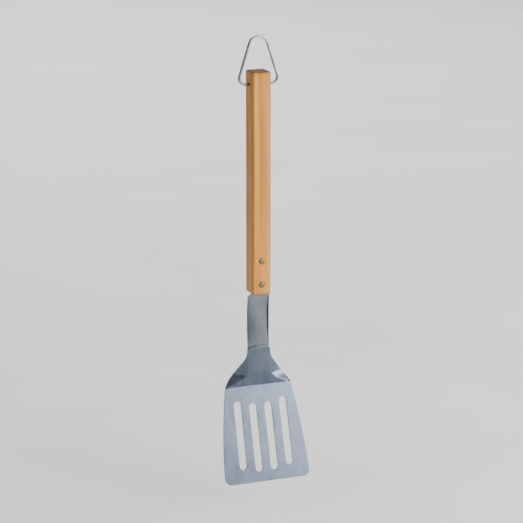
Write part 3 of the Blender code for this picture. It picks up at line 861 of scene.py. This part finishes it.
def make_bail(material):
    """A swept wire, its pins' ends chamfered; its UV runs along it in metres and round it in turns."""
    route = bail_route()
    bm = bmesh.new()
    uv_layer = bm.loops.layers.uv.new("wire")
    chamfer = Vector((WIRE_END_CHAMFER, 0.0, 0.0))
    sections = [(route[0], WIRE_RADIUS - WIRE_END_CHAMFER), (route[0] + chamfer, WIRE_RADIUS)]
    sections += [(point, WIRE_RADIUS) for point in route[1:-1]]
    sections += [(route[-1] - chamfer, WIRE_RADIUS), (route[-1], WIRE_RADIUS - WIRE_END_CHAMFER)]
    rings = []
    lengths = [0.0]
    for index, (point, radius) in enumerate(sections):
        before = sections[max(index - 1, 0)][0]
        after = sections[min(index + 1, len(sections) - 1)][0]
        if index:
            lengths.append(lengths[-1] + (point - before).length)
        sideways = Vector((0.0, 1.0, 0.0))
        outwards = sideways.cross(after - before).normalized()
        ring = []
        for side in range(WIRE_SIDES):
            angle = math.tau * side / WIRE_SIDES
            around = outwards * math.cos(angle) + sideways * math.sin(angle)
            ring.append(bm.verts.new(point + radius * around))
        rings.append(ring)
    for index, (first, second) in enumerate(zip(rings, rings[1:])):
        for side in range(WIRE_SIDES):
            after = (side + 1) % WIRE_SIDES
            face = bm.faces.new((first[side], first[after], second[after], second[side]))
            for loop, (place, turn) in zip(face.loops, ((0, side), (0, side + 1), (1, side + 1), (1, side))):
                loop[uv_layer].uv = (lengths[index + place], turn / WIRE_SIDES)
    bm.faces.new(rings[0])
    bm.faces.new(rings[-1])
    bmesh.ops.recalc_face_normals(bm, faces=bm.faces)
    piece = mesh_object("bail_wire", bm, material)
    piece.location = PIVOT
    smooth(piece, 50.0)
    return piece


# ---- rivets ---------------------------------------------------------------------------------------

def turned_mesh(profile, steps=48):
    """Spin (radius, height) points, from one pole to the other, about Z."""
    bm = bmesh.new()
    rings = []
    for radius, height in profile:
        if radius < 1e-7:
            rings.append([bm.verts.new((0.0, 0.0, height))])
            continue
        angles = [math.tau * step / steps for step in range(steps)]
        rings.append([bm.verts.new((radius * math.cos(a), radius * math.sin(a), height)) for a in angles])
    for upper, lower in zip(rings, rings[1:]):
        for step in range(steps):
            after = (step + 1) % steps
            corners = [upper[step % len(upper)], upper[after % len(upper)]]
            corners += [lower[after % len(lower)], lower[step % len(lower)]]
            bm.faces.new(list(dict.fromkeys(corners)))
    bmesh.ops.recalc_face_normals(bm, faces=bm.faces)
    return bm


def head_profile():
    """A low dome from a dimple in its middle to its rounded rim, then down into its seat."""
    face = HANDLE_DEPTH / 2.0
    top = face + RIVET_HEAD_PROUD
    drop = RIVET_HEAD_PROUD - RIVET_RIM
    points = []
    for step in range(HEAD_STEPS + 1):
        share = step / HEAD_STEPS
        radius = share * (RIVET_HEAD_RADIUS - RIVET_RIM_ROUND)
        dome = top - drop * (radius / RIVET_HEAD_RADIUS) ** 2
        dimple = RIVET_DIMPLE_DEPTH * (1.0 - ease(radius, 0.35 * RIVET_DIMPLE_RADIUS, RIVET_DIMPLE_RADIUS))
        points.append((radius, dome - dimple))
    rim = points[-1][1]
    for step in range(1, RIM_STEPS + 1):
        angle = math.pi / 2.0 * step / RIM_STEPS
        radius = RIVET_HEAD_RADIUS - RIVET_RIM_ROUND * (1.0 - math.sin(angle))
        points.append((radius, rim - RIVET_RIM_ROUND * (1.0 - math.cos(angle))))
    underside = face - RIVET_SEAT_DEPTH + FIT
    return points + [(RIVET_HEAD_RADIUS, underside)], underside


def make_rivets(material):
    head, underside = head_profile()
    sleeve_end = underside - SLEEVE_LENGTH
    bore = POST_RADIUS + FIT
    floor = underside - SLEEVE_FLOOR
    post = head + [(POST_RADIUS, underside), (POST_RADIUS, FIT - floor), (0.0, FIT - floor)]
    cap = head + [(SLEEVE_RADIUS, underside), (SLEEVE_RADIUS, sleeve_end), (bore, sleeve_end)]
    cap += [(bore, floor), (0.0, floor)]
    for place, height in RIVET_Z.items():
        for part, profile, turn in (("post", post, 0.5), ("cap", cap, -0.5)):
            piece = mesh_object(f"{place}_rivet_{part}_turned", turned_mesh(profile), material)
            facing = Matrix.Rotation(math.pi * turn, 4, "X")
            piece.matrix_world = Matrix.Translation((0.0, 0.0, height)) @ facing
            smooth(piece)
            settle(piece, "spatula", "rivet_metal", f"{place}_rivet_{part}")


# ---- handle ---------------------------------------------------------------------------------------

def cutter(name, bm, matrix):
    tool = mesh_object(name, bm, bpy.data.materials["handle_hardwood"])
    tool.matrix_world = matrix
    tool.hide_render = True
    return tool


def handle_cutters():
    """The tang's mortise, the stepped rivet bores, and the bail's hole with worn, slightly flared mouths."""
    length = TANG_LENGTH + 6.0 * MM
    bm = bmesh.new()
    bmesh.ops.create_cube(bm, size=1.0)
    bmesh.ops.scale(bm, vec=(2.0 * (TANG_HALF + FIT), SHANK_THICKNESS + 2.0 * FIT, length), verts=bm.verts)
    centre = Vector((0.0, 0.0, HANDLE_LOW.z + TANG_LENGTH + FIT - length / 2.0))
    cutters = [cutter("mortise_cutter", bm, Matrix.Translation(centre))]

    face = HANDLE_DEPTH / 2.0
    outside = face + CUTTER_OVERSHOOT
    seat = RIVET_HEAD_RADIUS + 0.6 * FIT
    floor = face - RIVET_SEAT_DEPTH
    half = [(0.0, outside), (seat + SEAT_CHAMFER, outside), (seat + SEAT_CHAMFER, face)]
    half += [(seat, face - SEAT_CHAMFER), (seat, floor), (SLEEVE_RADIUS + FIT, floor)]
    profile = half + [(radius, -height) for radius, height in reversed(half)]
    for place, height in RIVET_Z.items():
        matrix = Matrix.Translation((0.0, 0.0, height)) @ Matrix.Rotation(math.pi / 2.0, 4, "X")
        cutters.append(cutter(f"{place}_bore_cutter", turned_mesh(profile), matrix))

    side = HANDLE_WIDTH / 2.0
    outside = side + CUTTER_OVERSHOOT
    half = [(0.0, outside), (PIN_HOLE_RADIUS + PIN_HOLE_MOUTH[0][0], outside)]
    half += [(PIN_HOLE_RADIUS + wider, side - below) for wider, below in PIN_HOLE_MOUTH]
    profile = half + [(radius, -height) for radius, height in reversed(half)]
    matrix = Matrix.Translation(PIVOT) @ Matrix.Rotation(math.pi / 2.0, 4, "Y")
    cutters.append(cutter("pin_cutter", turned_mesh(profile), matrix))
    return cutters


def make_handle(material):
    bm = bmesh.new()
    bmesh.ops.create_cube(bm, size=1.0)
    bmesh.ops.scale(bm, vec=HANDLE_HIGH - HANDLE_LOW, verts=bm.verts)
    bmesh.ops.translate(bm, vec=(HANDLE_HIGH + HANDLE_LOW) / 2.0, verts=bm.verts)
    handle = mesh_object("handle_bar", bm, material)
    easing = handle.modifiers.new("eased_edges", "BEVEL")
    easing.width = HANDLE_EDGE_RADIUS
    easing.segments = 8
    cutters = handle_cutters()
    for tool in cutters:
        hole = handle.modifiers.new(tool.name, "BOOLEAN")
        hole.operation = "DIFFERENCE"
        hole.solver = "EXACT"
        hole.object = tool
    bpy.context.view_layer.update()
    shaped = handle.evaluated_get(bpy.context.evaluated_depsgraph_get())
    mesh = bpy.data.meshes.new_from_object(shaped)
    handle.modifiers.clear()
    handle.data = mesh
    for tool in cutters:
        bpy.data.objects.remove(tool, do_unlink=True)
    smooth(handle, 30.0)
    flat = handle.modifiers.new("flat_faces", "WEIGHTED_NORMAL")
    flat.keep_sharp = True
    return handle


# ---- studio ---------------------------------------------------------------------------------------

def make_floor():
    bm = bmesh.new()
    bmesh.ops.create_grid(bm, x_segments=40, y_segments=40, size=FLOOR_HALF)
    floor = mesh_object("floor", bm, pale_floor())
    floor.location = (0.0, 0.0, TIP_Z - FLOOR_BELOW_TIP)


def make_sky():
    """An even room, dimmer on the left and overhead."""
    world = bpy.data.worlds.new("studio_room")
    bpy.context.scene.world = world
    world.use_nodes = True
    nodes = world.node_tree.nodes
    links = world.node_tree.links
    direction = nodes.new("ShaderNodeSeparateXYZ")
    links.new(nodes.new("ShaderNodeTexCoord").outputs["Generated"], direction.inputs[0])
    strength = nodes.new("ShaderNodeMath")
    strength.operation = "MULTIPLY"
    fades = [("X", -0.9, 0.9, SKY_LEFT, SKY_RIGHT), ("Z", 0.30, 0.75, 1.0, SKY_TOP_SHARE)]
    for index, (axis, low, high, at_low, at_high) in enumerate(fades):
        fade = nodes.new("ShaderNodeMapRange")
        fade.interpolation_type = "SMOOTHSTEP"
        fade.inputs["From Min"].default_value = low
        fade.inputs["From Max"].default_value = high
        fade.inputs["To Min"].default_value = at_low
        fade.inputs["To Max"].default_value = at_high
        links.new(direction.outputs[axis], fade.inputs["Value"])
        links.new(fade.outputs[0], strength.inputs[index])
    background = nodes["Background"]
    background.inputs["Color"].default_value = SKY_COLOUR
    links.new(strength.outputs[0], background.inputs["Strength"])


def soft_light(name, place, target, size, power, colour=WHITE):
    light = bpy.data.lights.new(name, "AREA")
    light.shape = "RECTANGLE"
    light.size, light.size_y = size
    light.energy = power
    light.color = colour
    lamp = bpy.data.objects.new(name, light)
    bpy.context.scene.collection.objects.link(lamp)
    lamp.location = place
    lamp.rotation_euler = (Vector(target) - lamp.location).to_track_quat("-Z", "Y").to_euler()


def make_lights(centre):
    """A warm key and a side light on the tool; the last two are large, and keep the floor pale."""
    soft_light("key_front_right", (0.95, -1.48, 0.25), centre, (0.6, 0.7), 26.0, WARM_WHITE)
    soft_light("side_right", (1.5, -0.6, -0.05), centre, (0.7, 0.6), 20.0)
    soft_light("top", (0.1, 0.3, 1.9), centre, (1.6, 1.6), 3.0)
    soft_light("backdrop", (0.6, 3.2, 2.6), (0.5, 3.2, -1.0), (5.0, 3.6), 230.0)
    soft_light("front_wash", (0.4, -5.0, 2.8), (0.4, -4.8, -1.0), (5.0, 3.0), 75.0)


def make_camera(centre):
    camera = bpy.data.cameras.new("camera")
    camera.lens = CAMERA_LENS
    camera.sensor_width = 36.0
    viewer = bpy.data.objects.new("camera", camera)
    bpy.context.scene.collection.objects.link(viewer)
    out = Vector((0.0, -math.cos(CAMERA_ELEVATION), math.sin(CAMERA_ELEVATION)))
    out.rotate(Matrix.Rotation(CAMERA_AZIMUTH, 3, "Z"))
    viewer.location = centre + out * CAMERA_DISTANCE
    viewer.rotation_euler = (-out).to_track_quat("-Z", "Y").to_euler()
    bpy.context.scene.camera = viewer


# ---- the object -----------------------------------------------------------------------------------

handle = make_handle(hardwood())
settle(handle, "spatula", "hardwood", "handle")
make_rivets(rivet_brass())
shank_steel = brushed_steel("shank_brushed_steel", srgb("666E73"), srgb("7E868B"),
                            roughness=0.38, brushing=1.3, grit=0.35, stains=0.15)
shank = make_shank(shank_steel)
settle(shank, "spatula", "shank_steel", "shank")
blade_steel = brushed_steel("blade_brushed_steel", srgb("5B6373"), srgb("687182"),
                            roughness=0.32, brushing=0.7, grit=0.08, stains=0.08)
blade = make_blade(blade_steel)
settle(blade, "spatula", "blade_steel", "blade")
bail = make_bail(drawn_wire())
settle(bail, "bail", "bail_wire", "bail")

middle = (Vector(cad_bounds[0]) + Vector(cad_bounds[1])) / 2.0
make_floor()
make_sky()
make_lights(middle)
make_camera(middle)
